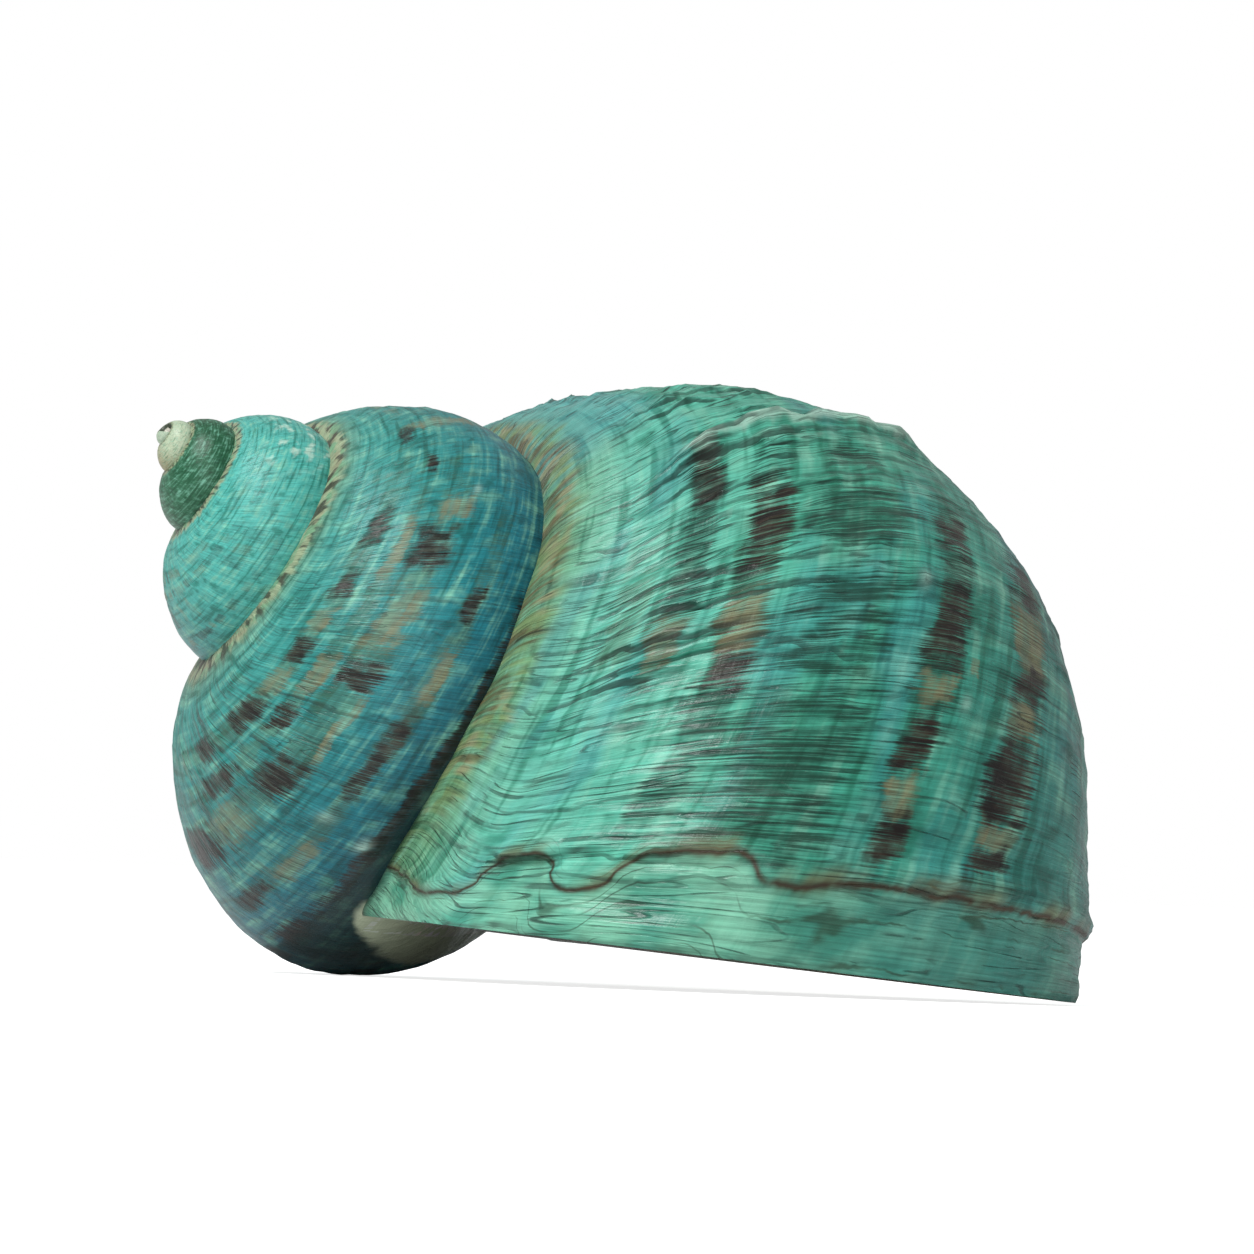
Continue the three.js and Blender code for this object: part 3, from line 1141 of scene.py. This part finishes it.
def glaze_share(tree, turn, around, place):
    """1 on the glaze beside the mouth."""
    age = growth_age(turn, around)
    uneven = (tree.noise(age / 5, around / 9, 79, detail=3.0) - 0.5) * 0.5
    away = None
    for at, turned, size in GLAZE:
        near = tree.field(
            "ShaderNodeMapping",
            "Vector",
            {"Vector": place, "Location": at, "Rotation": turned, "Scale": size},
            vector_type="TEXTURE",
        )
        length = tree.vector("LENGTH", near, output=1)
        away = length if away is None else away.least(length)
    return (away + uneven).rises(1.15, 0.85) * turn.rises(-60, -100)


def painted_outside(lines):
    made, tree, shader = new_material("painted_outside")
    turn, around, share, place = coordinates(tree)
    age = growth_age(turn, around)
    lines_here = tree.use(lines, {"Turn": turn, "Around": around, "Depth": 1.0})
    fine = tree.out(lines_here, "Fine")
    broad = tree.out(lines_here, "Broad")
    body = turn.rises(-275, -150)
    column = tree.noise(turn / 24, around / 3.6, 75, detail=2.0)
    cloud = tree.noise(age / 6, around / 12, 76, detail=3.0)

    colour = ground_colour(tree, turn, around, body)
    colour = clouded(tree, turn, around, body, colour, column, cloud)
    colour = flame_band(tree, turn, around, age, colour, fine)
    colour, dark = blotched(tree, turn, around, colour, fine, broad, column)
    colour = lip_margin(tree, turn, around, colour, cloud)
    chalk_and_highlight = chalk_and_highlight_share(tree, turn, around, broad)
    # Chalky wear, with a painted highlight on the crests and knobs.
    colour = tree.mix(chalk_and_highlight * (fine * 0.5 + 0.6), colour, CHALK_AND_HIGHLIGHT)

    # Fine lines in every colour, fine cracks that wander along them, and painted shade under the
    # ledges.
    tone = (broad - 0.5) * 0.9 + (fine - 0.5) * 1.5 + 1
    colour = tree.mix(1.0, colour, tree.point(tone, tone, tone), "MULTIPLY")
    colour = tree.mix(tree.out(lines_here, "Cracks And Ledge Shade") * 0.75, colour, SHADE_AND_CRACK_DARK)

    # Painted shade in the sutures, where one whorl meets the next.
    lower_suture_shade = around.rises(21, 26) * turn.rises(-255, -275)
    upper_suture_shade = around.rises(-98, -103)
    colour = tree.mix(lower_suture_shade.most(upper_suture_shade) * 0.8, colour, SHADE_AND_CRACK_DARK)

    # Glaze beside the mouth, and the layered edge of the lip.
    glaze = glaze_share(tree, turn, around, place)
    colour = tree.mix(glaze, colour, CREAM)
    inner_lip = around.rises(95, 130).most(around.rises(-108, -122))
    rim = tree.mix(inner_lip, RIM_GREEN, RIM_CREAM)
    colour = tree.mix(share.rises(0.999, 0.99), colour, rim)

    colour = tree.mix(1.0, colour, WHOLE_TINT, "MULTIPLY")
    tree.put(shader.inputs["Base Color"], colour)
    rough = broad * 0.16 + fine * 0.1 + chalk_and_highlight * 0.2 + 0.22
    tree.put(shader.inputs["Roughness"], rough - glaze * 0.1)
    shader.inputs["Specular IOR Level"].default_value = 0.35
    height = tree.out(lines_here, "Height") - dark * 0.02
    relief = tree.node(
        "ShaderNodeBump", {"Height": height, "Distance": MM, "Strength": 1.0}
    )
    tree.put(shader.inputs["Normal"], tree.out(relief, "Normal"))
    return made


PEARL_TONES = (
    (0.0, paint(226, 222, 208)), (0.25, paint(206, 216, 204)), (0.5, paint(228, 214, 206)),
    (0.72, paint(214, 212, 218)), (1.0, paint(230, 226, 206)),
)


def mother_of_pearl(lines):
    made, tree, shader = new_material("mother_of_pearl")
    turn, around, _, place = coordinates(tree)
    lines_here = tree.use(lines, {"Turn": turn, "Around": around, "Depth": 0.35})
    broad = tree.out(lines_here, "Broad")
    x, y, z = tree.parts(place)
    drift = tree.noise(x * 90, y * 90 + z * 60, 81, detail=3.0)
    sheen = (drift * 3.2 + around / 70 + broad * 0.5).fraction()
    colour = tree.palette(sheen, 0.0, 1.0, PEARL_TONES)
    grain = tree.noise(x * 700, y * 260 + z * 260, 83, detail=3.0)
    tone = (broad - 0.5) * 0.25 + (grain - 0.5) * 0.22 + 1
    colour = tree.mix(1.0, colour, tree.point(tone, tone, tone), "MULTIPLY")
    tinge = tree.noise(x * 160, y * 160 + z * 110, 84, detail=3.0).rises(0.52, 0.7)
    colour = tree.mix(tinge * 0.3, colour, PEARL_TINGE)
    tree.put(shader.inputs["Base Color"], colour)
    tree.put(shader.inputs["Roughness"], broad * 0.15 + 0.14)
    shader.inputs["Metallic"].default_value = 0.15
    relief = tree.node(
        "ShaderNodeBump",
        {
            "Height": tree.out(lines_here, "Height") + grain * 0.12,
            "Distance": MM,
            "Strength": 0.6,
        },
    )
    tree.put(shader.inputs["Normal"], tree.out(relief, "Normal"))
    return made


# ================================================================= floor, light, camera
FLOOR_SIZE = 40.0
FLOOR_GREY = (0.8, 0.8, 0.8, 1)
FLOOR_GLOW = 0.76  # seen by the camera only, so that it lights nothing
WORLD_LIGHT = 0.42
WHITE = (1, 1, 1, 1)
# Soft round lamps: name, place and size in m, power in W.
LAMPS = (
    ("overhead", (-0.5, -0.42, 0.95), 0.42, 10.0),
    ("front", (-0.2, -1.25, 0.3), 0.7, 3.6),
)
LAMPS_AIM = Vector((0, 0, 0.02))
SENSOR = 36  # width, mm
CAMERA_AWAY = 1.25  # from the aim point, m
FRAME_WIDTH = 0.09405  # width of the view at the aim point, m
AIM = Vector((0.00009, -0.00521, 0.02701))
LOOK_UP = 0.86  # degrees
ROLL = 2.29  # degrees


def floor_piece():
    mesh = bpy.data.meshes.new("studio_floor")
    half = FLOOR_SIZE / 2
    corners = [(-half, -half, 0), (half, -half, 0), (half, half, 0), (-half, half, 0)]
    mesh.from_pydata(corners, [], [(0, 1, 2, 3)])
    made, tree, shader = new_material("studio_floor")
    shader.inputs["Base Color"].default_value = FLOOR_GREY
    shader.inputs["Roughness"].default_value = 1.0
    shader.inputs["Specular IOR Level"].default_value = 0.0
    shader.inputs["Emission Color"].default_value = WHITE
    seen = tree.field("ShaderNodeLightPath", "Is Camera Ray")
    tree.put(shader.inputs["Emission Strength"], seen * FLOOR_GLOW)
    mesh.materials.append(made)
    piece = bpy.data.objects.new("studio_floor", mesh)
    bpy.context.scene.collection.objects.link(piece)
    return piece


def soft_light(name, spot, size, power):
    lamp = bpy.data.lights.new(name, "AREA")
    lamp.shape = "DISK"
    lamp.size = size
    lamp.energy = power
    holder = bpy.data.objects.new(name, lamp)
    bpy.context.scene.collection.objects.link(holder)
    holder.location = spot
    look = LAMPS_AIM - Vector(spot)
    holder.rotation_euler = look.to_track_quat("-Z", "Y").to_euler()


def light_studio():
    world = bpy.data.worlds.new("studio")
    world.use_nodes = True
    tree = Tree(world.node_tree)
    seen = tree.field("ShaderNodeLightPath", "Is Camera Ray")
    back = tree.nodes["Background"]
    tree.put(back.inputs["Strength"], seen * (1 - WORLD_LIGHT) + WORLD_LIGHT)
    back.inputs["Color"].default_value = WHITE
    bpy.context.scene.world = world
    for name, spot, size, power in LAMPS:
        soft_light(name, spot, size, power)
    bpy.context.scene.view_settings.view_transform = "Standard"


def set_camera():
    data = bpy.data.cameras.new("view")
    data.sensor_width = SENSOR
    data.lens = SENSOR * CAMERA_AWAY / FRAME_WIDTH
    data.clip_start = 0.05
    data.clip_end = 20
    camera = bpy.data.objects.new("view", data)
    bpy.context.scene.collection.objects.link(camera)
    turned = Matrix.Rotation((90 + LOOK_UP) * DEGREE, 3, "X") @ Matrix.Rotation(
        ROLL * DEGREE, 3, "Z"
    )
    away = turned @ Vector((0, 0, CAMERA_AWAY))
    camera.matrix_world = Matrix.Translation(AIM + away) @ turned.to_4x4()
    bpy.context.scene.camera = camera


# ================================================================= putting it together
set_camera()
light_studio()
growth_lines = growth_lines_group()
shell = shell_piece(painted_outside(growth_lines), mother_of_pearl(growth_lines))
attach(shell, "root")
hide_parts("shell")
floor_piece()
